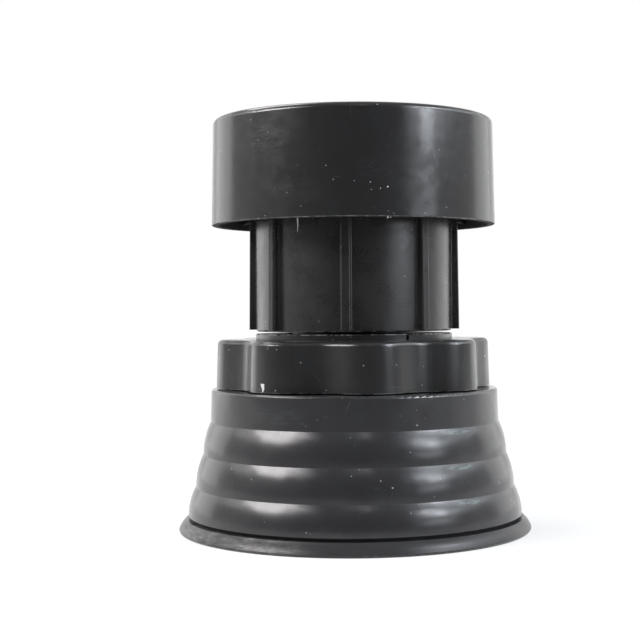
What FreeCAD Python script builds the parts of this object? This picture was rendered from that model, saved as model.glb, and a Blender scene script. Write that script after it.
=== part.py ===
import FreeCAD, Part

import math
import os
from types import SimpleNamespace

import Sketcher

# Height-adjusting furniture riser, in millimetres and degrees, standing on the floor at z = 0 with
# its axis on Z. A lobed nut turns on the base and winds a threaded column with a cup up and down.

# Driving sizes
SIZES = {
    # rubber foot ring
    "foot_radius": 40.5,
    "foot_edge": 0.6,
    "foot_lip_height": 0.65,
    "foot_flare_bend": 5.5,
    "foot_top_radius": 38.8,
    "foot_height": 2.95,
    "foot_bore_radius": 30.5,
    "groove_count": 2,
    "groove_width": 1.4,
    "groove_depth": 0.8,
    "groove_spacing": 3.0,
    "tongue_height": 4.4,
    "tongue_thickness": 2.0,
    "tongue_play": 0.15,
    "tongue_end_gap": 0.5,
    # conical base
    "base_height": 32.4,
    "base_radius": 38.35,
    "base_edge": 0.6,
    "bulge_count": 3,
    "bulge_height": 7.33,
    "bulge_step": 1.735,
    "band_draft": 0.2,
    "seam_gap": 0.75,
    "seam_depth": 0.8,
    "base_wall": 2.75,
    "shoulder_width": 1.0,
    "deck_thickness": 3.0,
    "boss_depth": 5.3,
    "boss_wall": 2.8,
    "base_web_count": 8,
    "base_web_thickness": 1.8,
    "base_web_depth": 9.0,
    # lobed knob with the nut
    "knob_gap": 0.3,
    "knob_height": 11.05,
    "knob_draft": 1.8,
    "knob_edge": 1.2,
    "knob_wall": 2.4,
    "lobe_count": 8,
    "lobe_start": 7.95,
    "lobe_centre": 22.3,
    "lobe_bend": 9.5,
    "lobe_flank_angle": 40.75,
    "valley_bend": 8.8,
    "neck_radius": 22.7,
    "neck_height": 1.3,
    "neck_edge": 0.25,
    "grip_web_thickness": 1.8,
    "notch_angle": -59.9,
    "notch_width": 1.4,
    "notch_depth": 0.6,
    "hub_radius": 21.0,
    "hub_play": 0.3,
    "hub_depth": 12.3,
    "collar_thickness": 2.5,
    # snap clip under the deck
    "clip_thickness": 1.6,
    "clip_play": 0.3,
    "clip_seat": 1.5,
    "clip_snugness": 0.1,
    "clip_opening": 70.0,
    # screw thread
    "thread_pitch": 5.0,
    "thread_radius": 16.0,
    "thread_depth": 1.8,
    "thread_crest": 1.3,
    "thread_flank": 15.0,
    "thread_play": 0.3,
    "thread_end": 0.5,
    "thread_above_nut": 1.5,
    # threaded column
    "column_gap": 0.5,
    "column_radius": 22.5,
    "column_wall": 2.6,
    "column_plate": 2.8,
    "column_edge": 0.4,
    "stem_end": 5.0,
    "stem_bore": 10.8,
    "stem_edge": 0.8,
    "rib_count": 8,
    "rib_start": 40.8,
    "rib_width": 2.0,
    "rib_reach": 24.35,
    "rib_draft": 0.3,
    "rib_end_gap": 0.35,
    "rib_edge": 0.35,
    "rib_root": 0.45,
    # cup on top
    "total_height": 94.0,
    "cup_radius": 32.25,
    "cup_draft": 0.45,
    "cup_height": 24.15,
    "cup_edge": 1.2,
    "cup_lip": 0.3,
    "cup_depth": 15.0,
    "cup_wall": 2.4,
    "recess_draft": 0.4,
    "floor_thickness": 3.0,
    "rim_thickness": 1.6,
    "socket_depth": 3.6,
    "socket_play": 0.12,
    "socket_wall": 2.0,
    "cup_web_count": 6,
    "cup_web_start": 30.0,
    "cup_web_thickness": 1.8,
    "cup_web_recess": 0.9,
    # rubber pad in the cup
    "pad_thickness": 3.0,
    "pad_play": 0.35,
    "pad_edge": 0.5,
    "pad_groove_count": 3,
    "pad_groove_width": 1.5,
    "pad_groove_depth": 0.9,
    "pad_groove_spacing": 6.0,
}

# Two measures closer than this are the same.
TOUCH = 0.001

# An edge longer than this that leans by less than this is one of a rib's long edges.
LONG_EDGE = 20.0
SMALL_LEAN = 1.0


class Size:
    """A number together with the sheet expression that gives it."""

    def __init__(self, value, text):
        self.value = value
        self.text = text

    @staticmethod
    def of(item):
        return item if isinstance(item, Size) else Size(float(item), repr(float(item)))

    def joined(self, other, sign, value):
        return Size(value, f"({self.text} {sign} {Size.of(other).text})")

    def __add__(self, other):
        return self.joined(other, "+", self.value + Size.of(other).value)

    def __sub__(self, other):
        return self.joined(other, "-", self.value - Size.of(other).value)

    def __mul__(self, other):
        return self.joined(other, "*", self.value * Size.of(other).value)

    def __truediv__(self, other):
        return self.joined(other, "/", self.value / Size.of(other).value)

    def __radd__(self, other):
        return Size.of(other) + self

    def __rsub__(self, other):
        return Size.of(other) - self

    def __rmul__(self, other):
        return Size.of(other) * self

    def __rtruediv__(self, other):
        return Size.of(other) / self


def cosine(angle):
    return Size(math.cos(math.radians(angle.value)), f"cos({angle.text} * 1 deg)")


def sine(angle):
    return Size(math.sin(math.radians(angle.value)), f"sin({angle.text} * 1 deg)")


def tangent(angle):
    return Size(math.tan(math.radians(angle.value)), f"tan({angle.text} * 1 deg)")


def root(size):
    return Size(math.sqrt(size.value), f"sqrt({size.text})")


def fill_sheet(doc, sizes):
    """Write the driving sizes to the sheet and return them as named sizes."""
    sheet = doc.addObject("Spreadsheet::Sheet", "Sizes")
    for row, (name, value) in enumerate(sizes.items(), 1):
        sheet.set(f"A{row}", name)
        sheet.set(f"B{row}", str(value))
        sheet.setAlias(f"B{row}", name)
    doc.recompute()
    return SimpleNamespace(**{name: Size(value, f"Sizes.{name}") for name, value in sizes.items()})


# Sketches and features

def bind(feature, prop, size):
    feature.setExpression(prop, Size.of(size).text)


def new_body(doc, name):
    body = doc.addObject("PartDesign::Body", name)
    body.Label = name
    return body


def origin_part(body, role):
    return next(item for item in body.Origin.OriginFeatures if item.Role == role)


def new_sketch(body, name, plane, turn=0.0, lift=0.0):
    """A sketch on one of the body's own planes, lifted along Z or turned about Z."""
    sketch = body.newObject("Sketcher::SketchObject", name)
    sketch.AttachmentSupport = [(origin_part(body, plane), "")]
    sketch.MapMode = "FlatFace"
    turn = Size.of(turn)
    lift = Size.of(lift)
    if plane == "XY_Plane":
        base, axis = FreeCAD.Vector(0, 0, lift.value), FreeCAD.Vector(0, 0, 1)
        bind(sketch, "AttachmentOffset.Base.z", lift)
    else:
        base, axis = FreeCAD.Vector(0, lift.value, 0), FreeCAD.Vector(0, 1, 0)
        bind(sketch, "AttachmentOffset.Base.y", lift)
    sketch.AttachmentOffset = FreeCAD.Placement(base, FreeCAD.Rotation(axis, turn.value))
    bind(sketch, "AttachmentOffset.Rotation.Angle", turn)
    return sketch


def bind_datum(sketch, index, size):
    bind(sketch, f"Constraints[{index}]", size)


def edge_curve(start, end, bend):
    """The line or arc from start to end, and which of its ends (1 or 2) is the start."""
    a = FreeCAD.Vector(start[0].value, start[1].value, 0)
    b = FreeCAD.Vector(end[0].value, end[1].value, 0)
    if bend is None:
        return Part.LineSegment(a, b), 1
    radius = abs(bend.value)
    chord = b - a
    left = FreeCAD.Vector(-chord.y, chord.x, 0).normalize()
    offset = math.sqrt(max(radius ** 2 - (chord.Length / 2) ** 2, 0.0))
    side = 1 if bend.value > 0 else -1
    centre = (a + b) / 2 + left * offset * side
    if side < 0:
        a, b = b, a
    angles = [math.atan2(p.y - centre.y, p.x - centre.x) for p in (a, b)]
    circle = Part.Circle(centre, FreeCAD.Vector(0, 0, 1), radius)
    return Part.ArcOfCircle(circle, angles[0], angles[1]), 1 if side > 0 else 2


def draw_outline(sketch, corners):
    """A closed outline through corners (x, y) or (x, y, bend).

    bend is the radius of the arc that leads to the next corner: positive where it
    bulges out of an outline that runs anticlockwise, negative where it is hollow.
    """
    corners = [tuple(Size.of(item) for item in corner) for corner in corners]
    ends = []
    for start, end in zip(corners, corners[1:] + corners[:1]):
        curve, first = edge_curve(start, end, start[2] if len(start) == 3 else None)
        index = sketch.addGeometry(curve, False)
        ends.append((index, first))
    for number, (corner, (index, first)) in enumerate(zip(corners, ends)):
        before, before_first = ends[number - 1]
        sketch.addConstraint(Sketcher.Constraint("Coincident", before, 3 - before_first, index, first))
        for kind, coordinate in zip(("DistanceX", "DistanceY"), corner):
            datum = Sketcher.Constraint(kind, -1, 1, index, first, coordinate.value)
            bind_datum(sketch, sketch.addConstraint(datum), coordinate)
        if len(corner) == 3:
            sign = 1 if corner[2].value > 0 else -1
            datum = Sketcher.Constraint("Radius", index, abs(corner[2].value))
            bind_datum(sketch, sketch.addConstraint(datum), corner[2] * sign)


def draw_box(sketch, low, high):
    """A rectangle between two opposite corners."""
    draw_outline(sketch, [(low[0], low[1]), (high[0], low[1]), (high[0], high[1]), (low[0], high[1])])


def revolve(body, name, corners, cut=False, angle=360.0):
    """Turn an (r, z) outline about Z."""
    sketch = new_sketch(body, name + "_profile", "XZ_Plane")
    draw_outline(sketch, corners)
    kind = "PartDesign::Groove" if cut else "PartDesign::Revolution"
    feature = body.newObject(kind, name)
    feature.Profile = sketch
    feature.ReferenceAxis = (sketch, ["V_Axis"])
    bind(feature, "Angle", angle)
    return feature


def repeat(body, feature, count):
    """Repeat a feature evenly round Z."""
    pattern = body.newObject("PartDesign::PolarPattern", feature.Name + "_pattern")
    pattern.Originals = [feature]
    pattern.Axis = (origin_part(body, "Z_Axis"), [""])
    pattern.Angle = 360
    bind(pattern, "Occurrences", count)
    body.Tip = pattern
    return pattern


def radial_plates(body, name, corners, thickness, start, count):
    """Upright plates of an (r, z) outline that stand out from Z like spokes."""
    sketch = new_sketch(body, name + "_outline", "XZ_Plane", turn=start)
    draw_outline(sketch, corners)
    pad = body.newObject("PartDesign::Pad", name)
    pad.Profile = sketch
    pad.SideType = "Symmetric"
    bind(pad, "Length", thickness)
    return repeat(body, pad, count)


def round_edges(body, name, feature, radius, chosen):
    """Round the feature's edges that the test picks."""
    edges = [f"Edge{number}" for number, edge in enumerate(feature.Shape.Edges, 1) if chosen(edge)]
    fillet = body.newObject("PartDesign::Fillet", name)
    fillet.Base = (feature, edges)
    bind(fillet, "Radius", radius)
    return fillet


def is_upright(edge):
    """Whether an edge runs almost straight up over a good part of the piece."""
    box = edge.BoundBox
    return box.ZLength > LONG_EDGE and max(box.XLength, box.YLength) < SMALL_LEAN


def from_axis(edge):
    """How far from Z the lower end of an edge lies."""
    low = min((vertex.Point for vertex in edge.Vertexes), key=lambda point: point.z)
    return math.hypot(low.x, low.y)


def helix(body, name, corners, pitch, height, cut=False):
    """Wind an (r, z) outline round Z as a right-hand thread."""
    sketch = new_sketch(body, name + "_profile", "XZ_Plane")
    draw_outline(sketch, corners)
    kind = "PartDesign::SubtractiveHelix" if cut else "PartDesign::AdditiveHelix"
    feature = body.newObject(kind, name)
    feature.Profile = sketch
    feature.ReferenceAxis = (sketch, ["V_Axis"])
    feature.Mode = "pitch-height-angle"
    bind(feature, "Pitch", pitch)
    bind(feature, "Height", height)
    return feature


def levels(s):
    """Heights and radii that several pieces share."""
    deck = s.base_height
    knob_bottom = deck + s.knob_gap
    knob_top = knob_bottom + s.knob_height
    neck_top = knob_top + s.neck_height
    cup_rim = s.total_height - s.cup_height
    cup_floor = s.total_height - s.cup_depth
    return SimpleNamespace(
        deck=deck,
        deck_under=deck - s.deck_thickness,
        boss_bottom=deck - s.deck_thickness - s.boss_depth,
        band_radius=s.base_radius - s.bulge_step * s.bulge_count,
        base_inside=s.base_radius - s.base_wall,
        rebate_top=s.foot_height + s.tongue_height + s.tongue_end_gap,
        deck_hole=s.hub_radius + s.hub_play,
        boss_radius=s.hub_radius + s.hub_play + s.boss_wall,
        knob_bottom=knob_bottom,
        knob_top=knob_top,
        neck_top=neck_top,
        hub_bottom=knob_bottom - s.hub_depth,
        column_bottom=neck_top + s.column_gap,
        cup_rim=cup_rim,
        cup_floor=cup_floor,
        floor_under=cup_floor - s.floor_thickness,
        rim_radius=s.cup_radius + s.cup_draft,
        recess_radius=s.cup_radius - s.cup_wall,
        nut_crest=s.thread_radius - s.thread_depth + s.thread_play,
    )


# Pieces

def foot_ring(doc, s, at):
    """Flared rubber ring with a tongue that grips the inside of the base."""
    body = new_body(doc, "foot_ring")
    tongue_outside = at.base_inside - s.tongue_play
    tongue_inside = tongue_outside - s.tongue_thickness
    tongue_top = s.foot_height + s.tongue_height
    revolve(body, "ring", [
        (s.foot_bore_radius, 0.0),
        (s.foot_radius - s.foot_edge, 0.0, s.foot_edge),
        (s.foot_radius, s.foot_edge),
        (s.foot_radius, s.foot_lip_height, s.foot_flare_bend),
        (s.foot_top_radius, s.foot_height),
        (tongue_outside, s.foot_height),
        (tongue_outside, tongue_top - s.foot_edge),
        (tongue_outside - s.foot_edge, tongue_top),
        (tongue_inside, tongue_top),
        (tongue_inside, s.foot_height),
        (s.foot_bore_radius, s.foot_height),
    ])
    outside = s.foot_radius - s.groove_spacing
    for number in range(int(s.groove_count.value)):
        groove_outside = outside - (s.groove_width + s.groove_spacing) * number
        groove_inside = groove_outside - s.groove_width
        revolve(body, f"sole_groove_{number + 1}", [
            (groove_inside, 0.0),
            (groove_outside, 0.0),
            (groove_outside, s.groove_depth),
            (groove_inside, s.groove_depth),
        ], cut=True)
    return body


def bulge_bend(width, height):
    """Radius of an arc that starts upright and leans in by width over height."""
    return (width * width + height * height) / (width * 2)


def base_cone(doc, s, at):
    """Hollow cone of three stepped bulges with a deck and a bearing boss for the knob."""
    body = new_body(doc, "base_cone")
    seam_top = s.foot_height + s.seam_gap
    seam_radius = s.base_radius - s.seam_depth
    bulges = []
    for number in range(int(s.bulge_count.value)):
        low = seam_top if number == 0 else s.foot_height + s.bulge_height * number
        height = s.foot_height + s.bulge_height * (number + 1) - low
        radius = s.base_radius - s.bulge_step * number
        bulges.append((radius, low, bulge_bend(s.bulge_step, height)))
    band_top = at.band_radius - s.band_draft
    land_top = at.deck + s.knob_gap
    revolve(body, "shell", [
        (at.base_inside, s.foot_height),
        (seam_radius, s.foot_height),
        (seam_radius, seam_top),
        *bulges,
        (at.band_radius, s.foot_height + s.bulge_height * s.bulge_count),
        (band_top, at.deck - s.base_edge, s.base_edge),
        (band_top - s.base_edge, at.deck),
        (at.boss_radius, at.deck),
        (at.boss_radius, land_top),
        (at.deck_hole, land_top),
        (at.deck_hole, at.boss_bottom),
        (at.boss_radius, at.boss_bottom),
        (at.boss_radius, at.deck_under),
        (band_top - s.base_wall, at.deck_under),
        (at.base_inside - s.shoulder_width, at.rebate_top),
        (at.base_inside, at.rebate_top),
    ])
    web_bottom = at.deck_under - s.base_web_depth
    web_top = at.deck_under + s.deck_thickness / 2
    lean = (at.base_inside - s.shoulder_width - band_top + s.base_wall) / (at.deck_under - at.rebate_top)
    wall_middle = band_top - s.base_wall / 2
    radial_plates(body, "deck_web", [
        (at.boss_radius - s.boss_wall / 2, at.boss_bottom),
        (at.boss_radius + s.clip_play, at.boss_bottom),
        (wall_middle + lean * s.base_web_depth, web_bottom),
        (wall_middle, at.deck_under),
        (wall_middle, web_top),
        (at.boss_radius - s.boss_wall / 2, web_top),
    ], s.base_web_thickness, 0.0, s.base_web_count)
    return body


def flank_distance(s):
    """How far from Z the straight flanks of the lobes pass, measured square to them."""
    return s.lobe_centre * cosine(s.lobe_flank_angle) + s.lobe_bend


def valley_radius(s):
    """How far from Z the lowest point between two lobes lies."""
    turn = s.lobe_flank_angle - 180 / s.lobe_count
    return (flank_distance(s) + s.valley_bend) / cosine(turn) - s.valley_bend


def lobed_corners(s, inset):
    """Outline of round lobes with straight flanks and hollow valleys, moved inwards by inset."""
    half = 180 / s.lobe_count
    tip = s.lobe_bend - inset
    hollow = s.valley_bend + inset
    valley_centre = valley_radius(s) + s.valley_bend
    corners = []
    for number in range(int(s.lobe_count.value)):
        turn = half * 2 * number
        valley = turn + half
        before = turn - s.lobe_flank_angle
        after = turn + s.lobe_flank_angle
        beyond = turn + half * 2 - s.lobe_flank_angle
        for centre, bearing, reach, normal, bend in (
            (s.lobe_centre, turn, tip, before, tip),
            (s.lobe_centre, turn, tip, after, None),
            (valley_centre, valley, hollow * -1, after, hollow * -1),
            (valley_centre, valley, hollow * -1, beyond, None),
        ):
            x = centre * cosine(bearing) + reach * cosine(normal)
            y = centre * sine(bearing) + reach * sine(normal)
            corners.append((x, y) if bend is None else (x, y, bend))
    return corners


def lobed_prism(body, name, s, inset, low, height, cut=False):
    """Raise the lobed outline, or cut it, upwards from z = low."""
    sketch = new_sketch(body, name + "_outline", "XY_Plane", turn=s.lobe_start, lift=low)
    draw_outline(sketch, lobed_corners(s, inset))
    feature = body.newObject("PartDesign::Pocket" if cut else "PartDesign::Pad", name)
    feature.Profile = sketch
    feature.Reversed = cut
    bind(feature, "Length", height)
    bind(feature, "TaperAngle", s.knob_draft * -1)
    return feature


def thread_corners(s, grow, low):
    """Section of the thread ridge, wider by grow all round, with its foot at z = low."""
    lean = tangent(s.thread_flank)
    crest = s.thread_radius + grow
    foot = s.thread_radius - s.thread_depth - s.thread_play
    half_crest = s.thread_crest / 2 + grow / cosine(s.thread_flank)
    half_foot = half_crest + (crest - foot) * lean
    middle = low + s.thread_pitch / 2
    return [
        (foot, middle - half_foot),
        (crest, middle - half_crest),
        (crest, middle + half_crest),
        (foot, middle + half_foot),
    ]


def adjusting_knob(doc, s, at):
    """Lobed hand knob, its neck and its internally threaded hub in one moulding."""
    body = new_body(doc, "adjusting_knob")
    lobed_prism(body, "grip", s, Size.of(0.0), at.knob_bottom, s.knob_height)
    doc.recompute()
    round_edges(body, "grip_edge", body.Tip, s.knob_edge,
                lambda edge: abs(edge.BoundBox.ZMin - at.knob_top.value) < TOUCH)
    lobed_prism(body, "hollow", s, s.knob_wall, at.knob_bottom, s.knob_height - s.knob_wall, cut=True)
    collar_top = at.knob_bottom + s.collar_thickness
    groove_top = at.boss_bottom - s.clip_play
    groove_bottom = groove_top - s.clip_thickness
    groove_radius = s.hub_radius - s.clip_seat
    revolve(body, "hub", [
        (at.nut_crest, at.hub_bottom),
        (s.hub_radius, at.hub_bottom),
        (s.hub_radius, groove_bottom - s.clip_snugness),
        (groove_radius, groove_bottom - s.clip_snugness),
        (groove_radius, groove_top + s.clip_snugness),
        (s.hub_radius, groove_top + s.clip_snugness),
        (s.hub_radius, at.knob_bottom),
        (at.boss_radius, at.knob_bottom),
        (at.boss_radius, collar_top),
        (s.hub_radius, collar_top),
        (s.hub_radius, at.knob_top - s.knob_wall / 2),
        (s.neck_radius, at.knob_top - s.knob_wall / 2),
        (s.neck_radius, at.neck_top - s.neck_edge),
        (s.neck_radius - s.neck_edge, at.neck_top),
        (at.nut_crest, at.neck_top),
    ])
    doc.recompute()
    hole_sketch = new_sketch(body, "nut_bore_outline", "XY_Plane", lift=at.neck_top)
    circle = Part.Circle(FreeCAD.Vector(0, 0, 0), FreeCAD.Vector(0, 0, 1), at.nut_crest.value)
    hole_sketch.addGeometry(circle, False)
    hole_sketch.addConstraint(Sketcher.Constraint("Coincident", 0, 3, -1, 1))
    datum = hole_sketch.addConstraint(Sketcher.Constraint("Radius", 0, at.nut_crest.value))
    bind_datum(hole_sketch, datum, at.nut_crest)
    hole = body.newObject("PartDesign::Pocket", "nut_bore")
    hole.Profile = hole_sketch
    hole.Type = "ThroughAll"
    web_inside = s.hub_radius - s.knob_wall
    web_outside = valley_radius(s) - s.knob_wall / 2
    web_top = at.knob_top - s.knob_wall / 2
    radial_plates(body, "grip_web", [
        (web_inside, at.knob_bottom),
        (web_outside, at.knob_bottom),
        (web_outside, web_top),
        (web_inside, web_top),
    ], s.grip_web_thickness, s.lobe_start + 180 / s.lobe_count, s.lobe_count)
    notch_sketch = new_sketch(body, "notch_outline", "XY_Plane", turn=s.notch_angle, lift=at.neck_top)
    draw_box(notch_sketch,
             (s.neck_radius - s.notch_depth, s.notch_width / -2),
             (s.neck_radius + s.notch_depth, s.notch_width / 2))
    notch = body.newObject("PartDesign::Pocket", "neck_notch")
    notch.Profile = notch_sketch
    bind(notch, "Length", s.neck_height)
    thread_length = at.neck_top - at.hub_bottom + s.thread_pitch * 2
    helix(body, "nut_thread", thread_corners(s, s.thread_play, at.hub_bottom - s.thread_pitch),
          s.thread_pitch, thread_length, cut=True)
    return body


def retaining_clip(doc, s, at):
    """Open ring snapped into the hub's groove below the bearing boss."""
    body = new_body(doc, "retaining_clip")
    top = at.boss_bottom - s.clip_play
    inside = s.hub_radius - s.clip_seat + s.clip_snugness
    revolve(body, "ring", [
        (inside, top - s.clip_thickness),
        (at.boss_radius, top - s.clip_thickness),
        (at.boss_radius, top),
        (inside, top),
    ], angle=360 - s.clip_opening)
    return body


def lift_column(doc, s, at):
    """Ribbed sleeve with a hollow threaded stem inside it, closed by a top plate."""
    body = new_body(doc, "lift_column")
    bottom = at.column_bottom
    top = at.floor_under
    root_radius = s.thread_radius - s.thread_depth
    sleeve_inside = s.column_radius - s.column_wall
    revolve(body, "sleeve", [
        (s.stem_bore, s.stem_end),
        (root_radius - s.stem_edge, s.stem_end),
        (root_radius, s.stem_end + s.stem_edge),
        (root_radius, top - s.column_plate),
        (sleeve_inside, top - s.column_plate),
        (sleeve_inside, bottom),
        (s.column_radius - s.column_edge, bottom, s.column_edge),
        (s.column_radius, bottom + s.column_edge),
        (s.column_radius, top),
        (0.0, top),
        (0.0, top - s.column_plate),
        (s.stem_bore, top - s.column_plate),
    ])
    radial_plates(body, "rib", [
        (s.column_radius - s.column_wall / 2, bottom + s.rib_end_gap),
        (s.rib_reach, bottom + s.rib_end_gap),
        (s.rib_reach - s.rib_draft, top),
        (s.column_radius - s.column_wall / 2, top),
    ], s.rib_width, s.rib_start, s.rib_count)
    doc.recompute()
    beyond = s.rib_reach.value - s.rib_draft.value
    round_edges(body, "rib_edge", body.Tip, s.rib_edge,
                lambda edge: is_upright(edge) and from_axis(edge) > beyond)
    doc.recompute()
    round_edges(body, "rib_root", body.Tip, s.rib_root,
                lambda edge: is_upright(edge) and abs(from_axis(edge) - s.column_radius.value) < TOUCH)
    thread_length = at.neck_top + s.thread_above_nut - s.stem_end - s.thread_pitch
    helix(body, "stem_thread", thread_corners(s, Size.of(0.0), s.stem_end + s.thread_end),
          s.thread_pitch, thread_length)
    return body


def riser_cup(doc, s, at):
    """Round cup with a hollow skirt, a splined socket for the column and webs."""
    body = new_body(doc, "riser_cup")
    skirt_inside = at.rim_radius - s.rim_thickness
    skirt_top = at.recess_radius
    revolve(body, "drum", [
        (skirt_inside, at.cup_rim),
        (at.rim_radius - s.cup_lip, at.cup_rim, s.cup_lip),
        (at.rim_radius, at.cup_rim + s.cup_lip),
        (s.cup_radius, s.total_height - s.cup_edge, s.cup_edge),
        (s.cup_radius - s.cup_edge, s.total_height),
        (at.recess_radius + s.cup_edge / 2, s.total_height, s.cup_edge / 2),
        (at.recess_radius, s.total_height - s.cup_edge / 2),
        (at.recess_radius - s.recess_draft, at.cup_floor),
        (0.0, at.cup_floor),
        (0.0, at.floor_under),
        (skirt_top, at.floor_under),
    ])
    socket_inside = s.column_radius + s.socket_play
    socket_outside = s.rib_reach + s.socket_play + s.socket_wall
    revolve(body, "socket", [
        (socket_inside, at.floor_under - s.socket_depth),
        (socket_outside, at.floor_under - s.socket_depth),
        (socket_outside, at.floor_under + s.floor_thickness / 2),
        (socket_inside, at.floor_under + s.floor_thickness / 2),
    ])
    web_bottom = at.cup_rim + s.cup_web_recess
    web_outside = (skirt_inside + at.rim_radius) / 2
    web_inside = socket_outside - s.socket_wall / 2
    radial_plates(body, "skirt_web", [
        (web_inside, at.floor_under - s.socket_depth),
        (web_outside, web_bottom),
        (web_outside - s.cup_draft, at.floor_under + s.floor_thickness / 2),
        (web_inside, at.floor_under + s.floor_thickness / 2),
    ], s.cup_web_thickness, s.cup_web_start, s.cup_web_count)
    sketch = new_sketch(body, "spline_outline", "XY_Plane", turn=s.rib_start,
                        lift=at.floor_under - s.socket_depth)
    half_slot = s.rib_width / 2 + s.rib_root / 2 + s.socket_play
    draw_box(sketch,
             (s.column_radius - s.column_wall, half_slot * -1),
             (s.rib_reach + s.socket_play, half_slot))
    slot = body.newObject("PartDesign::Pocket", "spline")
    slot.Profile = sketch
    slot.Reversed = True
    bind(slot, "Length", s.socket_depth)
    repeat(body, slot, s.rib_count)
    return body


def cup_pad(doc, s, at):
    """Grooved rubber disc lying in the cup."""
    body = new_body(doc, "cup_pad")
    radius = at.recess_radius - s.recess_draft - s.pad_play
    top = at.cup_floor + s.pad_thickness
    revolve(body, "disc", [
        (0.0, at.cup_floor),
        (radius, at.cup_floor),
        (radius, top - s.pad_edge),
        (radius - s.pad_edge, top),
        (0.0, top),
    ])
    for number in range(int(s.pad_groove_count.value)):
        outside = radius - s.pad_groove_spacing * (number + 1)
        revolve(body, f"grip_groove_{number + 1}", [
            (outside - s.pad_groove_width, top - s.pad_groove_depth),
            (outside, top - s.pad_groove_depth),
            (outside, top),
            (outside - s.pad_groove_width, top),
        ], cut=True)
    return body


def check_document(doc, bodies):
    """Stop if any object has failed or a piece has no sound solid."""
    for item in doc.Objects:
        if "Invalid" in item.State or "Error" in item.State:
            raise RuntimeError(f"{item.Name} failed: {item.State}")
    for body in bodies:
        shape = body.Shape
        if shape.isNull() or not shape.isValid() or len(shape.Solids) != 1:
            raise RuntimeError(f"{body.Label} has no single sound solid")


def main():
    doc = FreeCAD.newDocument("riser")
    s = fill_sheet(doc, SIZES)
    at = levels(s)
    makers = (foot_ring, base_cone, retaining_clip, adjusting_knob, lift_column, riser_cup, cup_pad)
    bodies = []
    for make in makers:
        bodies.append(make(doc, s, at))
        doc.recompute()
    check_document(doc, bodies)
    os.makedirs("parts", exist_ok=True)
    for body in bodies:
        body.Shape.exportStep(f"parts/{body.Label}.step")
        box = body.Shape.BoundBox
        print(f"{body.Label}: {body.Shape.Volume / 1000:.2f} cm3, z {box.ZMin:.2f} to {box.ZMax:.2f}")


main()
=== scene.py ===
import math
import random

import bmesh
import bpy
from mathutils import Matrix, Vector


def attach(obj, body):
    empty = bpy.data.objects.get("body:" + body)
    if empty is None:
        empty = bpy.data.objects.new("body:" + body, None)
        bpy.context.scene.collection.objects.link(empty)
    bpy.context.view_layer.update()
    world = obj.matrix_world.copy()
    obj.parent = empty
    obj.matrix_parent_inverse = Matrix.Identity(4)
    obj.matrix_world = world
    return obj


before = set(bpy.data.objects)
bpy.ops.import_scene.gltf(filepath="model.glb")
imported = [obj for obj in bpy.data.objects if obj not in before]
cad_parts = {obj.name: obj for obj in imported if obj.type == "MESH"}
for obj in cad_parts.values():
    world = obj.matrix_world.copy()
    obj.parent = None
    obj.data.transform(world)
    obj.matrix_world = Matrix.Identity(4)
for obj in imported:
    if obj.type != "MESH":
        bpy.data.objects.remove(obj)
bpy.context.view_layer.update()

MM = 0.001

# The viewpoint of the photograph, for an image of 640 x 640 pixels. Distances and the height are in metres,
# the sensor's width is in millimetres and the roll in degrees.
IMAGE_SIZE = 640
FOCAL_PIXELS = 1362
AXIS_COLUMN = 353.85
HORIZON_ROW = 308.4
CAMERA_DISTANCE = 0.316
CAMERA_HEIGHT = 0.0507
CAMERA_ROLL = 0.4
SENSOR_WIDTH = 36
NEAR_CLIP = 0.01

# Levels and radii of the moulded pieces, in millimetres
CUP_RIM = 69.85
CUP_RIM_RADIUS = 32.7
CUP_RADIUS = 32.4
COLUMN_FOOT = 45.55
COLUMN_RADIUS = 22.5
NECK_TOP = 45.05
KNOB_FOOT = 32.7
KNOB_RADIUS = 31.0
LOBE_TIP_RADIUS = 31.8
DECK = 32.4
BASE_RADIUS = 36.0
BULGE_CREASES = (10.28, 17.61, 24.94)
FOOT_SEAM = (2.9, 3.75)
FOOT_RADIUS = 40.0
PAD_RADIUS = 29.0
CLIP_RADIUS = 23.0

# Sockets of the mix node, by their places
FACTOR = 0
VALUE_A = 2
VALUE_B = 3
COLOUR_A = 6
COLOUR_B = 7
COLOUR_RESULT = 2


def linear(hex_colour, share=1.0):
    """A share of an sRGB hex colour's light, as linear red, green, blue and alpha."""
    channels = [int(hex_colour[first:first + 2], 16) / 255 for first in (1, 3, 5)]
    lights = [c / 12.92 if c <= 0.04045 else ((c + 0.055) / 1.055) ** 2.4 for c in channels]
    return [light * share for light in lights] + [1.0]


def add_node(tree, kind, inputs=None, **settings):
    """Adds a shader node: an input given as a socket is linked, and any other value is set."""
    node = tree.nodes.new("ShaderNode" + kind)
    for name, value in settings.items():
        setattr(node, name, value)
    for name, value in (inputs or {}).items():
        if isinstance(value, bpy.types.NodeSocket):
            tree.links.new(value, node.inputs[name])
        else:
            node.inputs[name].default_value = value
    return node


def new_material(name):
    """An empty node material and its tree, with the output node."""
    material = bpy.data.materials.new(name)
    material.use_nodes = True
    material.node_tree.nodes.clear()
    output = add_node(material.node_tree, "OutputMaterial")
    return material, material.node_tree, output


# Patterns on the surface. Coordinates are in millimetres.

def millimetres(tree):
    """The piece's own coordinates in millimetres."""
    metres = add_node(tree, "TexCoord").outputs["Object"]
    return add_node(tree, "VectorMath", {0: metres, 1: [1 / MM] * 3}, operation="MULTIPLY").outputs[0]


def unrolled(tree, place, radius):
    """The wall unrolled flat: arc length at that radius, and height."""
    parts = add_node(tree, "SeparateXYZ", {0: place})
    forward = add_node(tree, "Math", {0: parts.outputs["Y"], 1: -1.0}, operation="MULTIPLY").outputs[0]
    angle = add_node(tree, "Math", {0: parts.outputs["X"], 1: forward}, operation="ARCTAN2").outputs[0]
    arc = add_node(tree, "Math", {0: angle, 1: radius}, operation="MULTIPLY").outputs[0]
    return add_node(tree, "CombineXYZ", {"X": arc, "Y": parts.outputs["Z"]}).outputs[0]


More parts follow.
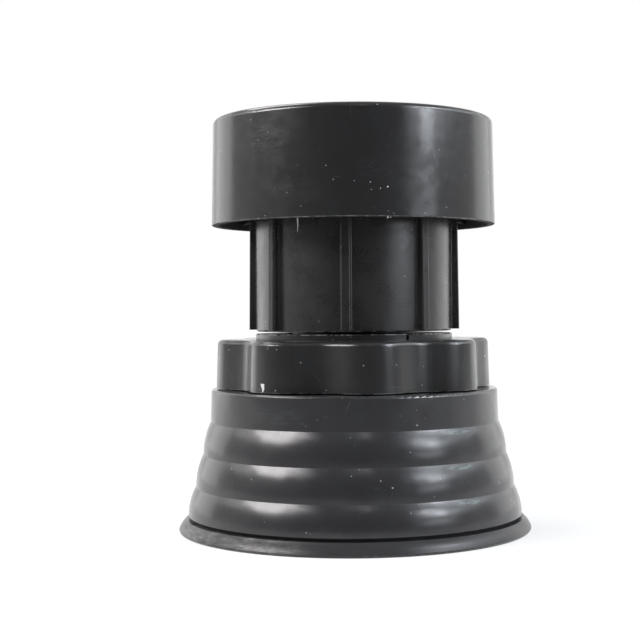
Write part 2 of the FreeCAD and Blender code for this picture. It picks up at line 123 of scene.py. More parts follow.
def strongest(tree, layers):
    """The strongest of several layers at each point."""
    total = layers[0]
    for layer in layers[1:]:
        total = add_node(tree, "Math", {0: total, 1: layer}, operation="MAXIMUM").outputs[0]
    return total


def hairlines(tree, flat, cell, length, width, share, seed):
    """Fine straight scratches of random direction, at most one in each cell. Each seed gives other ones."""
    shift = (seed * 37.7, seed * 11.3, 0)
    moved = add_node(tree, "VectorMath", {0: flat, 1: shift}, operation="ADD").outputs[0]
    cells = add_node(tree, "TexVoronoi", {
        "Vector": moved, "Scale": 1 / cell, "Randomness": 1.0,
    }, voronoi_dimensions="2D")
    chance = add_node(tree, "SeparateColor", {0: cells.outputs["Color"]})
    centre = cells.outputs["Position"]
    offset = add_node(tree, "VectorMath", {0: moved, 1: centre}, operation="SUBTRACT").outputs[0]
    angle = add_node(tree, "Math", {0: chance.outputs["Green"], 1: math.pi}, operation="MULTIPLY").outputs[0]
    turned = add_node(tree, "VectorRotate", {
        "Vector": offset, "Angle": angle,
    }, rotation_type="Z_AXIS").outputs[0]
    parts = add_node(tree, "SeparateXYZ", {0: turned})
    across = add_node(tree, "Math", {0: parts.outputs["Y"]}, operation="ABSOLUTE").outputs[0]
    thin = add_node(tree, "MapRange", {
        "Value": across, "From Min": width, "From Max": width * 0.4,
    }).outputs[0]
    along = add_node(tree, "Math", {0: parts.outputs["X"]}, operation="ABSOLUTE").outputs[0]
    short = add_node(tree, "MapRange", {
        "Value": along, "From Min": length / 2, "From Max": length / 6,
    }).outputs[0]
    present = add_node(tree, "Math", {0: chance.outputs["Red"], 1: share}, operation="LESS_THAN").outputs[0]
    line = add_node(tree, "Math", {0: thin, 1: short}, operation="MULTIPLY").outputs[0]
    return add_node(tree, "Math", {0: line, 1: present}, operation="MULTIPLY").outputs[0]


def specks(tree, place, cell, size, share, seed):
    """Grains of dust and tiny nicks, at most one in each cell. Each seed gives other ones."""
    shift = (seed * 5.3, seed * 7.9, seed * 3.1)
    moved = add_node(tree, "VectorMath", {0: place, 1: shift}, operation="ADD").outputs[0]
    # waves of half a millimetre make their outlines ragged
    wavy = add_node(tree, "TexNoise", {"Vector": moved, "Scale": 2.2, "Detail": 1.0}).outputs["Fac"]
    # more of them lie together in some parts, 14 mm across
    gathered = add_node(tree, "TexNoise", {"Vector": moved, "Scale": 1 / 14, "Detail": 1.0}).outputs["Fac"]
    crowd = add_node(tree, "MapRange", {
        "Value": gathered, "From Min": 0.4, "From Max": 0.65, "To Min": share * 0.25, "To Max": share * 2.0,
    }).outputs[0]
    cells = add_node(tree, "TexVoronoi", {
        "Vector": moved, "Scale": 1 / cell, "Randomness": 1.0,
    }, voronoi_dimensions="3D")
    chance = add_node(tree, "SeparateColor", {0: cells.outputs["Color"]})
    away = add_node(tree, "Math", {0: cells.outputs["Distance"], 1: cell}, operation="MULTIPLY").outputs[0]
    ragged = add_node(tree, "Math", {0: wavy, 1: size * 1.2, 2: away}, operation="MULTIPLY_ADD").outputs[0]
    reach = add_node(tree, "Math", {
        0: chance.outputs["Blue"], 1: size, 2: size,
    }, operation="MULTIPLY_ADD").outputs[0]
    spot = add_node(tree, "Math", {0: ragged, 1: reach}, operation="LESS_THAN").outputs[0]
    present = add_node(tree, "Math", {0: chance.outputs["Red"], 1: crowd}, operation="LESS_THAN").outputs[0]
    return add_node(tree, "Math", {0: spot, 1: present}, operation="MULTIPLY").outputs[0]


def smears(tree, flat, places, radius):
    """Soft ovals at (azimuth, height, half width, half height, strength), broken up like a dried wipe."""
    # streaks that run round the wall, the way a hand or a cloth goes
    stretched = add_node(tree, "VectorMath", {0: flat, 1: (0.35, 1.6, 1.0)}, operation="MULTIPLY").outputs[0]
    streaks = add_node(tree, "TexNoise", {
        "Vector": stretched, "Scale": 1.0, "Detail": 5.0, "Roughness": 0.7,
    }).outputs["Fac"]
    broken = add_node(tree, "MapRange", {"Value": streaks, "From Min": 0.42, "From Max": 0.68}).outputs[0]
    ovals = []
    for azimuth, height, half_width, half_height, strength in places:
        centre = (math.radians(azimuth) * radius, height, 0)
        offset = add_node(tree, "VectorMath", {0: flat, 1: centre}, operation="SUBTRACT").outputs[0]
        scaled = add_node(tree, "VectorMath", {
            0: offset, 1: (1 / half_width, 1 / half_height, 1),
        }, operation="MULTIPLY").outputs[0]
        away = add_node(tree, "VectorMath", {0: scaled}, operation="LENGTH").outputs["Value"]
        ovals.append(add_node(tree, "MapRange", {
            "Value": away, "From Min": 0.3, "From Max": 1.0, "To Min": strength, "To Max": 0.0,
        }, interpolation_type="SMOOTHSTEP").outputs[0])
    return add_node(tree, "Math", {0: strongest(tree, ovals), 1: broken}, operation="MULTIPLY").outputs[0]


def worn_and_highlit_edges(tree, place, edges):
    """Thin broken pale lines along edges at (height, width, strength): partly plastic that rubbing has bared,
    and partly painted highlight along the edges.
    """
    height = add_node(tree, "SeparateXYZ", {0: place}).outputs["Z"]
    # the line is missing in stretches of some 2.4 mm, and on level faces
    gaps = add_node(tree, "TexNoise", {
        "Vector": place, "Scale": 1 / 2.4, "Detail": 4.0, "Roughness": 0.7,
    }).outputs["Fac"]
    broken = add_node(tree, "MapRange", {"Value": gaps, "From Min": 0.45, "From Max": 0.6}).outputs[0]
    facing = add_node(tree, "SeparateXYZ", {0: add_node(tree, "TexCoord").outputs["Normal"]}).outputs["Z"]
    lean = add_node(tree, "Math", {0: facing}, operation="ABSOLUTE").outputs[0]
    not_level = add_node(tree, "MapRange", {"Value": lean, "From Min": 0.97, "From Max": 0.85}).outputs[0]
    lines = []
    for level, width, strength in edges:
        offset = add_node(tree, "Math", {0: height, 1: level}, operation="SUBTRACT").outputs[0]
        away = add_node(tree, "Math", {0: offset}, operation="ABSOLUTE").outputs[0]
        lines.append(add_node(tree, "MapRange", {
            "Value": away, "From Min": width * 0.4, "From Max": width, "To Min": strength, "To Max": 0.0,
        }).outputs[0])
    patchy = add_node(tree, "Math", {0: strongest(tree, lines), 1: broken}, operation="MULTIPLY").outputs[0]
    return add_node(tree, "Math", {0: patchy, 1: not_level}, operation="MULTIPLY").outputs[0]


def turned_down(tree):
    """1 on faces that look down and 0 elsewhere."""
    facing = add_node(tree, "SeparateXYZ", {0: add_node(tree, "TexCoord").outputs["Normal"]}).outputs["Z"]
    return add_node(tree, "MapRange", {"Value": facing, "From Min": -0.6, "From Max": -0.9}).outputs[0]


def turned_in(tree, place):
    """1 on walls that look towards the axis and 0 elsewhere."""
    level = add_node(tree, "VectorMath", {0: place, 1: (1, 1, 0)}, operation="MULTIPLY").outputs[0]
    outward = add_node(tree, "VectorMath", {0: level}, operation="NORMALIZE").outputs[0]
    facing = add_node(tree, "VectorMath", {
        0: outward, 1: add_node(tree, "TexCoord").outputs["Normal"],
    }, operation="DOT_PRODUCT").outputs["Value"]
    return add_node(tree, "MapRange", {"Value": facing, "From Min": -0.4, "From Max": -0.8}).outputs[0]


def between(tree, place, low, high):
    """1 between two heights and 0 elsewhere."""
    height = add_node(tree, "SeparateXYZ", {0: place}).outputs["Z"]
    middle = (low + high) / 2
    return add_node(tree, "Math", {0: height, 1: middle, 2: (high - low) / 2}, operation="COMPARE").outputs[0]


# Materials

REFRACTION = 1.5
# Gloss of the moulds' polished side, and of the faces that look down or inwards and the foot seam, dulled as
# painted shade (in the seam also as dust)
POLISHED_SHINE = 0.5
HIDDEN_SHINE = 0.08
HIDDEN_ROUGHNESS = 0.7
# How much of the pale colour a hairline and a speck show, and how much a mark and a smear dull the gloss
HAIRLINE_SHOWS = 0.06
SPECK_SHOWS = 0.7
MARK_DULLS = 0.4
SMEAR_DULLS = 0.35
SCRATCHED_CELLS = 0.2
# Depth of the mould's fine skin, in millimetres
SKIN_DEPTH = 0.0012


def plastic_marks(tree, place, flat, dust, edges):
    """Pale marks on the plastic, from 0 to 1: faint hairlines, pale edge lines that are partly bared plastic
    and partly painted highlight, dust and tiny nicks.
    """
    scratches = strongest(tree, [
        hairlines(tree, flat, cell=9.0, length=4.5, width=0.05, share=SCRATCHED_CELLS, seed=1),
        hairlines(tree, flat, cell=3.6, length=1.8, width=0.04, share=SCRATCHED_CELLS, seed=2),
    ])
    grains = strongest(tree, [
        specks(tree, place, cell=2.6, size=0.12, share=dust, seed=3),
        specks(tree, place, cell=1.6, size=0.08, share=dust, seed=6),
    ])
    edge_lines = worn_and_highlit_edges(tree, place, edges) if edges else 0.0
    faint = add_node(tree, "Math", {0: scratches, 1: HAIRLINE_SHOWS}, operation="MULTIPLY").outputs[0]
    lined = add_node(tree, "Math", {0: faint, 1: edge_lines}, operation="MAXIMUM").outputs[0]
    return add_node(tree, "Math", {
        0: grains, 1: SPECK_SHOWS, 2: lined,
    }, operation="MULTIPLY_ADD", use_clamp=True).outputs[0]


def worn_roughness(tree, place, roughness, cloud, patches, film, marks):
    """Roughness of the polished side, which patches, cloudy handling marks, smears and pale marks change."""
    patched = add_node(tree, "MapRange", {
        "Value": patches, "From Min": 0.3, "From Max": 0.7,
        "To Min": roughness * 0.85, "To Max": roughness * 1.2,
    }).outputs[0]
    # faint clouds, 1 to 4 mm across
    clouds = add_node(tree, "TexNoise", {
        "Vector": place, "Scale": 1 / 2.5, "Detail": 5.0, "Roughness": 0.75,
    }).outputs["Fac"]
    cloudy = add_node(tree, "MapRange", {
        "Value": clouds, "From Min": 0.4, "From Max": 0.65, "To Min": 0.0, "To Max": cloud,
    }).outputs[0]
    clouded = add_node(tree, "Math", {0: patched, 1: cloudy}, operation="ADD").outputs[0]
    smeared = add_node(tree, "Math", {
        0: film, 1: SMEAR_DULLS, 2: clouded,
    }, operation="MULTIPLY_ADD").outputs[0]
    return add_node(tree, "Math", {
        0: marks, 1: MARK_DULLS, 2: smeared,
    }, operation="MULTIPLY_ADD").outputs[0]


def moulded_relief(tree, place, ripple):
    """The surface's direction with the ripples of the moulding and the fine skin of the mould."""
    # sink and flow of the moulding, some 9 mm across
    flow = add_node(tree, "TexNoise", {"Vector": place, "Scale": 1 / 9, "Detail": 2.0}).outputs["Fac"]
    # the skin, 0.5 mm, drawn coarser than it is
    skin = add_node(tree, "TexNoise", {"Vector": place, "Scale": 1 / 0.5, "Detail": 3.0}).outputs["Fac"]
    waves = add_node(tree, "Bump", {"Height": flow, "Strength": 1.0, "Distance": ripple * MM}).outputs[0]
    return add_node(tree, "Bump", {
        "Height": skin, "Strength": 1.0, "Distance": SKIN_DEPTH * MM, "Normal": waves,
    }).outputs[0]


def moulded_plastic(name, colour, warm_colour, mark_colour, radius, roughness, ripple, dust, cloud=0.03,
                    wiped=(), wipe_colour="#6f7376", edges=(), seam_dust_and_shade=None):
    """Black moulded plastic: ripples and fine grain in its gloss, hairlines, pale specks and dull smears."""
    material, tree, output = new_material(name)
    place = millimetres(tree)
    flat = unrolled(tree, place, radius)
    # patches some 5 mm across, where the tint is warmer and the gloss higher, or colder and duller
    patches = add_node(tree, "TexNoise", {
        "Vector": place, "Scale": 1 / 5, "Detail": 4.0, "Roughness": 0.6,
    }).outputs["Fac"]
    film = smears(tree, flat, wiped, radius) if wiped else 0.0
    marks = plastic_marks(tree, place, flat, dust, edges)

    body = add_node(tree, "Mix", {
        FACTOR: patches, COLOUR_A: linear(warm_colour), COLOUR_B: linear(colour),
    }, data_type="RGBA").outputs[COLOUR_RESULT]
    filmed = add_node(tree, "Mix", {
        FACTOR: film, COLOUR_A: body, COLOUR_B: linear(wipe_colour),
    }, data_type="RGBA").outputs[COLOUR_RESULT]
    marked = add_node(tree, "Mix", {
        FACTOR: marks, COLOUR_A: filmed, COLOUR_B: linear(mark_colour),
    }, data_type="RGBA").outputs[COLOUR_RESULT]

    # faces that look down or inwards and the foot seam are dull and dark: painted shade under and inside the
    # pieces, and dust and painted shade in the seam
    hidden_parts = [turned_down(tree), turned_in(tree, place)]
    if seam_dust_and_shade:
        hidden_parts.append(between(tree, place, *seam_dust_and_shade))
    hidden = strongest(tree, hidden_parts)
    worn = worn_roughness(tree, place, roughness, cloud, patches, film, marks)
    shown_roughness = add_node(tree, "Mix", {
        FACTOR: hidden, VALUE_A: worn, VALUE_B: HIDDEN_ROUGHNESS,
    }).outputs[0]
    shine = add_node(tree, "Mix", {
        FACTOR: hidden, VALUE_A: POLISHED_SHINE, VALUE_B: HIDDEN_SHINE,
    }).outputs[0]
    relief = moulded_relief(tree, place, ripple)
    shader = add_node(tree, "BsdfPrincipled", {
        "Base Color": marked, "Roughness": shown_roughness, "Normal": relief, "IOR": REFRACTION,
        "Specular IOR Level": shine,
    })
    tree.links.new(shader.outputs[0], output.inputs[0])
    return material


RUBBER_SHINE = 0.3
SCUFF_SHOWS = 0.3
DUSTY_CELLS = 0.35
# Depth of the grit, in millimetres
GRIT_DEPTH = 0.03


def moulded_rubber(name, colour, dust_colour, radius, roughness, dust_and_light=()):
    """Dark matt rubber: even, soft and without gloss, with grey dust that clings to it, and a paler veil that
    is partly painted light.
    """
    material, tree, output = new_material(name)
    place = millimetres(tree)
    flat = unrolled(tree, place, radius)
    # lighter and darker patches, some 7 mm across
    patches = add_node(tree, "TexNoise", {
        "Vector": place, "Scale": 1 / 7, "Detail": 5.0, "Roughness": 0.65,
    }).outputs["Fac"]
    # the grit of the mould's blasted face, drawn coarser than it is
    grit = add_node(tree, "TexNoise", {"Vector": place, "Scale": 1 / 0.7, "Detail": 3.0}).outputs["Fac"]
    grains = specks(tree, place, cell=2.2, size=0.09, share=DUSTY_CELLS, seed=5)
    scuffs = hairlines(tree, flat, cell=5.0, length=2.5, width=0.08, share=SCRATCHED_CELLS, seed=4)
    marks = add_node(tree, "Math", {
        0: scuffs, 1: SCUFF_SHOWS, 2: grains,
    }, operation="MULTIPLY_ADD", use_clamp=True).outputs[0]
    patchy = add_node(tree, "Mix", {
        FACTOR: patches, COLOUR_A: linear(colour, 0.8), COLOUR_B: linear(colour, 1.2),
    }, data_type="RGBA").outputs[COLOUR_RESULT]
    marked = add_node(tree, "Mix", {
        FACTOR: marks, COLOUR_A: patchy, COLOUR_B: linear(dust_colour),
    }, data_type="RGBA").outputs[COLOUR_RESULT]
    # dry dust that lies thicker on one side, where it also stands for painted light from the lamps on that
    # side
    dust_and_light_veil = smears(tree, flat, dust_and_light, radius) if dust_and_light else 0.0
    dust_and_light_veiled = add_node(tree, "Mix", {
        FACTOR: dust_and_light_veil, COLOUR_A: marked, COLOUR_B: linear(dust_colour),
    }, data_type="RGBA").outputs[COLOUR_RESULT]
    bump = add_node(tree, "Bump", {"Height": grit, "Strength": 1.0, "Distance": GRIT_DEPTH * MM}).outputs[0]
    shader = add_node(tree, "BsdfPrincipled", {
        "Base Color": dust_and_light_veiled, "Roughness": roughness, "Normal": bump, "IOR": REFRACTION,
        "Specular IOR Level": RUBBER_SHINE,
    })
    tree.links.new(shader.outputs[0], output.inputs[0])
    return material


TORN_ROUGHNESS = 0.55


def torn_flash(name, colour):
    """Thin torn plastic: pale where it is stressed and lets light through, and without gloss."""
    material, tree, output = new_material(name)
    place = millimetres(tree)
    # streaks a third of a millimetre across
    streaks = add_node(tree, "TexNoise", {"Vector": place, "Scale": 3.0, "Detail": 3.0}).outputs["Fac"]
    streaked = add_node(tree, "Mix", {
        FACTOR: streaks, COLOUR_A: linear(colour, 0.7), COLOUR_B: linear(colour),
    }, data_type="RGBA").outputs[COLOUR_RESULT]
    shader = add_node(tree, "BsdfPrincipled", {
        "Base Color": streaked, "Roughness": TORN_ROUGHNESS, "IOR": REFRACTION,
    })
    tree.links.new(shader.outputs[0], output.inputs[0])
    return material


# Smears where hands and packing have rubbed: azimuth from the camera's side in degrees, height, half width
# and half height in millimetres, and strength
CUP_SMEARS = ((-36, 86, 9, 6, 0.05), (-20, 76, 7, 4, 0.04), (14, 80, 10, 5, 0.03), (150, 84, 14, 6, 0.05))
BASE_SMEARS = (
    *((41, crease - 0.8, 6.0, 0.7, 0.4) for crease in BULGE_CREASES),
    *((-134, crease - 1.1, 9.0, 0.9, 0.15) for crease in BULGE_CREASES),
    (-30, 28, 10, 3, 0.03),
    (95, 14, 9, 5, 0.05),
)
# on the foot, dust, thicker on the left where it also stands for painted light from the left lamps
FOOT_DUST_AND_LIGHT = ((-62, 2, 26, 6, 0.26), (-30, 1.5, 13, 4, 0.26), (120, 2, 20, 5, 0.2))

# The colours are the black, its warmer tint in patches, and the pale one of the marks. Ripple is in mm.
FINISHES = {
    # glossy ABS from a polished mould: clear highlights on a smooth black wall, with specks and cloudy marks,
    # and a pale line at the rim that is partly painted highlight
    "riser_cup": moulded_plastic(
        "moulded_abs_gloss_cup", "#202323", "#211e1f", "#c9cac8", CUP_RADIUS,
        roughness=0.17, ripple=0.07, dust=0.5, cloud=0.045,
        wiped=CUP_SMEARS, edges=((CUP_RIM, 0.3, 0.15),)),
    # the same glossy ABS, a little duller from hands, with dust, and pale lines at the neck and the foot that
    # are partly rubbed edges and partly painted highlight
    "adjusting_knob": moulded_plastic(
        "moulded_abs_gloss_knob", "#202323", "#211e1f", "#c0c1bf", KNOB_RADIUS,
        roughness=0.22, ripple=0.05, dust=0.7, cloud=0.006,
        edges=((NECK_TOP, 0.25, 0.3), (KNOB_FOOT, 0.2, 0.15))),
    # the same ABS with a softer gloss on its ribs, and a broken pale line round its foot, partly wear and
    # partly a painted highlight on its edge
    "lift_column": moulded_plastic(
        "moulded_abs_gloss_column", "#1c1e1e", "#1e1a1b", "#b4b5b3", COLUMN_RADIUS,
        roughness=0.28, ripple=0.06, dust=0.3, cloud=0.01,
        edges=((COLUMN_FOOT, 0.3, 0.4),)),
    # satin polypropylene: highlights that waver on the bulges, with greenish-white scuffs under the creases,
    # a faint pale line at the deck that is partly painted highlight, and a foot seam dulled with dust and
    # painted shade
    "base_cone": moulded_plastic(
        "moulded_polypropylene_satin", "#26292a", "#272426", "#b4b5b3", BASE_RADIUS,
        roughness=0.22, ripple=0.13, dust=0.3, cloud=0.01,
        wiped=BASE_SMEARS, wipe_colour="#8aa6a0", edges=((DECK, 0.3, 0.06),), seam_dust_and_shade=FOOT_SEAM),
    # waxy acetal: a soft even sheen, and clean because nothing touches it
    "retaining_clip": moulded_plastic(
        "moulded_acetal_clip", "#222222", "#1e1e1e", "#8c8c8a", CLIP_RADIUS,
        roughness=0.35, ripple=0.01, dust=0.05),
    # matt rubber, greyer than the plastic, with dust that lies thicker on the left, where it is also painted
    # light from the left lamps
    "foot_ring": moulded_rubber(
        "moulded_rubber_foot", "#2a2a2b", "#9a9a98", FOOT_RADIUS, roughness=0.32, dust_and_light=FOOT_DUST_AND_LIGHT),
    # rougher rubber, the dullest of them, with hardly a highlight
    "cup_pad": moulded_rubber("moulded_rubber_pad", "#222222", "#777775", PAD_RADIUS, roughness=0.6),
}

for node_name, finish in FINISHES.items():
    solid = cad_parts[node_name]
    for material_slot in solid.material_slots:
        material_slot.material = finish


# Flash and nicks of the moulding

# Steps along a fin, and the width of its tip in millimetres
FIN_STEPS = 7
FIN_TIP = 0.06


def on_wall(azimuth, radius, height):
    """A place on a round wall, with the azimuth counted from the camera's side to the right."""
    turn = math.radians(azimuth)
    return Vector((radius * math.sin(turn), -radius * math.cos(turn), height)) * MM


def flash(name, body, slot_name, finish, azimuth, radius, top, drop, width, thickness, seed):
    """A ragged fin of thin plastic left by the mould, hanging from an edge down by drop."""
    chance = random.Random(seed)
    turn = math.radians(azimuth)
    across = Vector((math.cos(turn), math.sin(turn), 0))
    outward = Vector((math.sin(turn), -math.cos(turn), 0))
    fin = bmesh.new()
    rings = []
    for step in range(FIN_STEPS + 1):
        share = step / FIN_STEPS
        half = (width * (1 - share) ** 0.7 * chance.uniform(0.75, 1.1) + FIN_TIP) / 2
        sway = chance.uniform(-0.12, 0.12) * width + 0.25 * width * math.sin(share * 3)
        middle = on_wall(azimuth, radius, top - drop * share) + across * sway * MM
        deep = (thickness * (1 - 0.6 * share)) / 2
        rings.append([
            fin.verts.new(middle + across * side * half * MM + outward * face * deep * MM)
            for side, face in ((-1, -1), (1, -1), (1, 1), (-1, 1))
        ])
    for above, below in zip(rings, rings[1:]):
        for corner in range(4):
            after = (corner + 1) % 4
            fin.faces.new((above[corner], above[after], below[after], below[corner]))
    fin.faces.new(rings[0][::-1])
    fin.faces.new(rings[-1])
    bmesh.ops.recalc_face_normals(fin, faces=fin.faces)
    mesh = bpy.data.meshes.new(name)
    fin.to_mesh(mesh)
    fin.free()
    mesh.materials.append(finish)
    piece = bpy.data.objects.new(name, mesh)
    bpy.context.collection.objects.link(piece)
    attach(piece, body)


pale_plastic = torn_flash("torn_abs_flash_pale", "#cfcfcd")
grey_plastic = torn_flash("torn_abs_flash_grey", "#6d6d6b")
UNDER_RIM = {"body": "cup", "slot_name": "cup_plastic", "radius": CUP_RIM_RADIUS - 0.45}
flash("flash_rim_long", **UNDER_RIM, finish=grey_plastic, azimuth=-21.3, top=CUP_RIM + 0.3,
      drop=3.4, width=0.3, thickness=0.15, seed=11)
flash("flash_rim_short", **UNDER_RIM, finish=pale_plastic, azimuth=12.8, top=CUP_RIM + 0.2,
      drop=0.6, width=0.35, thickness=0.2, seed=12)
flash("flash_rim_tiny", **UNDER_RIM, finish=pale_plastic, azimuth=14.0, top=CUP_RIM + 0.2,
      drop=0.45, width=0.3, thickness=0.2, seed=13)
flash("nick_knob_foot", body="knob", slot_name="knob_plastic", radius=LOBE_TIP_RADIUS - 0.1,
      finish=pale_plastic, azimuth=-38.4, top=KNOB_FOOT + 2.0, drop=2.0, width=1.1, thickness=0.3, seed=14)


# Lamps. Angles are in degrees, sizes and distances in metres.

# Height that the lamps look at
AIM_HEIGHT = 0.05


def light_from(azimuth, elevation, distance):
    """A place seen from the object: azimuth from the camera's side towards the right of the picture."""
    turn = math.radians(azimuth)
    rise = math.radians(elevation)
    return Vector((
        distance * math.cos(rise) * math.sin(turn),
        -distance * math.cos(rise) * math.cos(turn),
        AIM_HEIGHT + distance * math.sin(rise),
    ))


def softbox(name, azimuth, elevation, distance, width, height, radiance, colour):
    """A soft rectangular lamp that looks at the object and that the camera doesn't see."""
    lamp = bpy.data.lights.new(name, "AREA")
    lamp.shape = "RECTANGLE"
    lamp.size = width
    lamp.size_y = height
    lamp.energy = radiance * math.pi * width * height
    lamp.color = linear(colour)[:3]
    holder = bpy.data.objects.new(name, lamp)
    holder.location = light_from(azimuth, elevation, distance)
    aim = Vector((0, 0, AIM_HEIGHT)) - holder.location
    holder.rotation_euler = aim.to_track_quat("-Z", "Y").to_euler()
    holder.visible_camera = False
    bpy.context.collection.objects.link(holder)


PLAIN_WHITE = "#ffffff"
WARM_WHITE = "#fffbfd"
COOL_WHITE = "#f1f7ff"
LEFT_DISTANCE = 0.5
RIGHT_DISTANCE = 0.46

# Two large softboxes in uneven parts, whose radiance was fitted to the highlights in the photograph:
# azimuth, elevation, width, height and radiance of each part
LEFT_PARTS = (
    (-65.5, 28, 0.184, 0.14, 16.0),
    (-81.25, 26, 0.092, 0.035, 18.0),
    (-49.75, 26, 0.092, 0.035, 9.0),
    (-49.75, 34, 0.092, 0.035, 26.0),
    (-39.25, 32, 0.092, 0.07, 4.0),
)
RIGHT_PARTS = (
    (49.25, 5, 0.084, 0.048, 4.0),
    (49.25, 17, 0.084, 0.048, 3.8),
    (49.25, 23, 0.084, 0.048, 13.4),
    (49.25, 38, 0.084, 0.096, 1.8),
    (59.75, 5, 0.084, 0.048, 5.0),
    (59.75, 17, 0.084, 0.048, 20.4),
    (59.75, 23, 0.084, 0.048, 8.3),
    (59.75, 35, 0.084, 0.048, 6.9),
    (59.75, 41, 0.084, 0.048, 14.0),
    (70.25, 17, 0.084, 0.048, 5.2),
    (70.25, 35, 0.084, 0.048, 42.0),
    (80.75, 20, 0.084, 0.096, 2.4),
    (80.75, 29, 0.084, 0.048, 12.0),
    (80.75, 35, 0.084, 0.048, 3.0),
)
# The other lamps: name, azimuth, elevation, distance, width, height, radiance and colour
SINGLE_LAMPS = (
    ("small_front", 0, 43, 0.8, 0.2, 0.16, 0.9, PLAIN_WHITE),
    ("front_window", 9, 39, 0.8, 0.045, 0.08, 7.0, PLAIN_WHITE),
    ("side_left", -95, 30, 0.6, 0.25, 0.3, 2.4, WARM_WHITE),
    ("side_right", 100, 30, 0.6, 0.25, 0.3, 2.4, COOL_WHITE),
    ("top_left", -128, 58, 0.5, 0.22, 0.22, 7.3, WARM_WHITE),
    ("rim_left", -128, 12, 0.8, 0.45, 0.6, 1.3, PLAIN_WHITE),
    ("rim_right", 128, 12, 0.8, 0.45, 0.6, 1.05, PLAIN_WHITE),
)
for number, (azimuth, elevation, width, height, radiance) in enumerate(LEFT_PARTS):
    softbox(f"left_{number}", azimuth, elevation, LEFT_DISTANCE, width, height, radiance, WARM_WHITE)
for number, (azimuth, elevation, width, height, radiance) in enumerate(RIGHT_PARTS):
    softbox(f"right_{number}", azimuth, elevation, RIGHT_DISTANCE, width, height, radiance, COOL_WHITE)
for single_lamp in SINGLE_LAMPS:
    softbox(*single_lamp)


# White surroundings

# Strength of the world as a light on matt surfaces, and of the room and the backdrop in reflections
SOFT_LIGHT = 0.35
ROOM_REFLECTED = 0.7
BACKDROP_REFLECTED = 0.7


def shown_white(tree, ray):
    """1 for what the camera sees, straight or through something clear, and 0 for other light."""
    return add_node(tree, "Math", {
        0: ray.outputs["Is Camera Ray"], 1: ray.outputs["Is Transmission Ray"],
    }, operation="MAXIMUM").outputs[0]


def white_studio(name):
    """A world that is white to the eye, and dimmer in reflections and as a light on the object."""
    world = bpy.data.worlds.new(name)
    world.use_nodes = True
    tree = world.node_tree
    tree.nodes.clear()
    ray = add_node(tree, "LightPath")
    direction = add_node(tree, "SeparateXYZ", {0: add_node(tree, "TexCoord").outputs["Generated"]})
    # reflections see a white room that grows dark towards the side of the camera
    room = add_node(tree, "MapRange", {
        "Value": direction.outputs["Y"], "From Min": -1.0, "From Max": 0.0,
        "To Min": 0.0, "To Max": ROOM_REFLECTED,
    }).outputs[0]
    # and the bright backdrop behind the object, which only grazing reflections on its edges show
    backdrop = add_node(tree, "MapRange", {
        "Value": direction.outputs["Y"], "From Min": 0.8, "From Max": 0.98,
        "To Min": 0.0, "To Max": BACKDROP_REFLECTED,
    }).outputs[0]
    reflected = add_node(tree, "Math", {0: room, 1: backdrop}, operation="ADD").outputs[0]
    unseen = add_node(tree, "Mix", {
        FACTOR: ray.outputs["Is Glossy Ray"], VALUE_A: SOFT_LIGHT, VALUE_B: reflected,
    }).outputs[0]
    seen = shown_white(tree, ray)
    strength = add_node(tree, "Mix", {FACTOR: seen, VALUE_A: unseen, VALUE_B: 1.0}).outputs[0]
    background = add_node(tree, "Background", {"Color": (1, 1, 1, 1), "Strength": strength})
    add_node(tree, "OutputWorld", {"Surface": background.outputs[0]})
    return world


# The paper's glow in reflections, in front of the object and behind it
NEAR_GLOW = 0.12
FAR_GLOW = 1.25
# Places between which the one turns into the other, in metres, with the camera at the negative end
NEAR_PAPER = -0.35
FAR_PAPER = -0.05
# Share of the glow at the foot, where the shadow shows, and the distances over which it grows to all of it
GLOW_AT_FOOT = 0.6
SHADOW_STARTS = 0.06
SHADOW_ENDS = 0.22


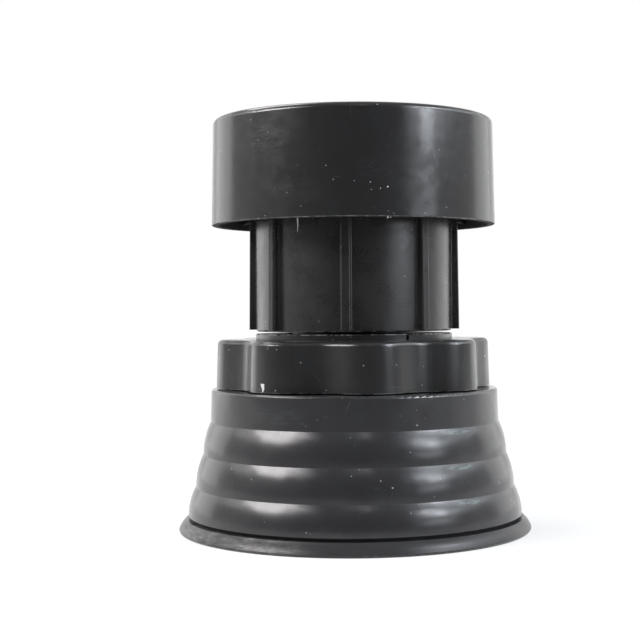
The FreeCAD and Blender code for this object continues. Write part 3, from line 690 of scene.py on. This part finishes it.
def background_paper(name):
    """White matt paper: it glows to the eye and in reflections, but keeps a soft shadow round the foot."""
    material, tree, output = new_material(name)
    ray = add_node(tree, "LightPath")
    place = add_node(tree, "TexCoord").outputs["Object"]
    seen = shown_white(tree, ray)
    reflected = add_node(tree, "MapRange", {
        "Value": add_node(tree, "SeparateXYZ", {0: place}).outputs["Y"],
        "From Min": NEAR_PAPER, "From Max": FAR_PAPER, "To Min": NEAR_GLOW, "To Max": FAR_GLOW,
    }).outputs[0]
    glow = add_node(tree, "Mix", {FACTOR: seen, VALUE_A: reflected, VALUE_B: 1.0}).outputs[0]
    white = add_node(tree, "Emission", {"Color": (1, 1, 1, 1), "Strength": glow})
    matt = add_node(tree, "BsdfDiffuse", {"Color": linear("#f4f4f4")})
    glowing = add_node(tree, "Math", {
        0: seen, 1: ray.outputs["Is Glossy Ray"],
    }, operation="MAXIMUM").outputs[0]
    away = add_node(tree, "VectorMath", {0: place}, operation="LENGTH").outputs["Value"]
    unshaded = add_node(tree, "MapRange", {
        "Value": away, "From Min": SHADOW_STARTS, "From Max": SHADOW_ENDS,
        "To Min": GLOW_AT_FOOT, "To Max": 1.0,
    }).outputs[0]
    share = add_node(tree, "Math", {0: glowing, 1: unshaded}, operation="MULTIPLY").outputs[0]
    mixed = add_node(tree, "MixShader", {0: share, 1: matt.outputs[0], 2: white.outputs[0]})
    tree.links.new(mixed.outputs[0], output.inputs[0])
    return material


bpy.context.scene.world = white_studio("white_studio")

# Half the side of the square floor, in metres
FLOOR_HALF = 4
floor_mesh = bpy.data.meshes.new("floor")
sheet = bmesh.new()
bmesh.ops.create_grid(sheet, x_segments=1, y_segments=1, size=FLOOR_HALF)
sheet.to_mesh(floor_mesh)
sheet.free()
floor_mesh.materials.append(background_paper("white_background_paper"))
floor = bpy.data.objects.new("floor", floor_mesh)
bpy.context.collection.objects.link(floor)


# Camera of the photograph

view_data = bpy.data.cameras.new("photo_view")
view_data.sensor_width = SENSOR_WIDTH
view_data.lens = FOCAL_PIXELS / IMAGE_SIZE * SENSOR_WIDTH
view_data.shift_x = (IMAGE_SIZE / 2 - AXIS_COLUMN) / IMAGE_SIZE
view_data.shift_y = (HORIZON_ROW - IMAGE_SIZE / 2) / IMAGE_SIZE
view_data.clip_start = NEAR_CLIP
camera = bpy.data.objects.new("photo_view", view_data)
camera.matrix_world = (
    Matrix.Translation((0, -CAMERA_DISTANCE, CAMERA_HEIGHT))
    @ Matrix.Rotation(math.radians(90), 4, "X")
    @ Matrix.Rotation(math.radians(-CAMERA_ROLL), 4, "Z")
)
bpy.context.collection.objects.link(camera)
bpy.context.scene.camera = camera
bpy.context.scene.view_settings.view_transform = "Standard"
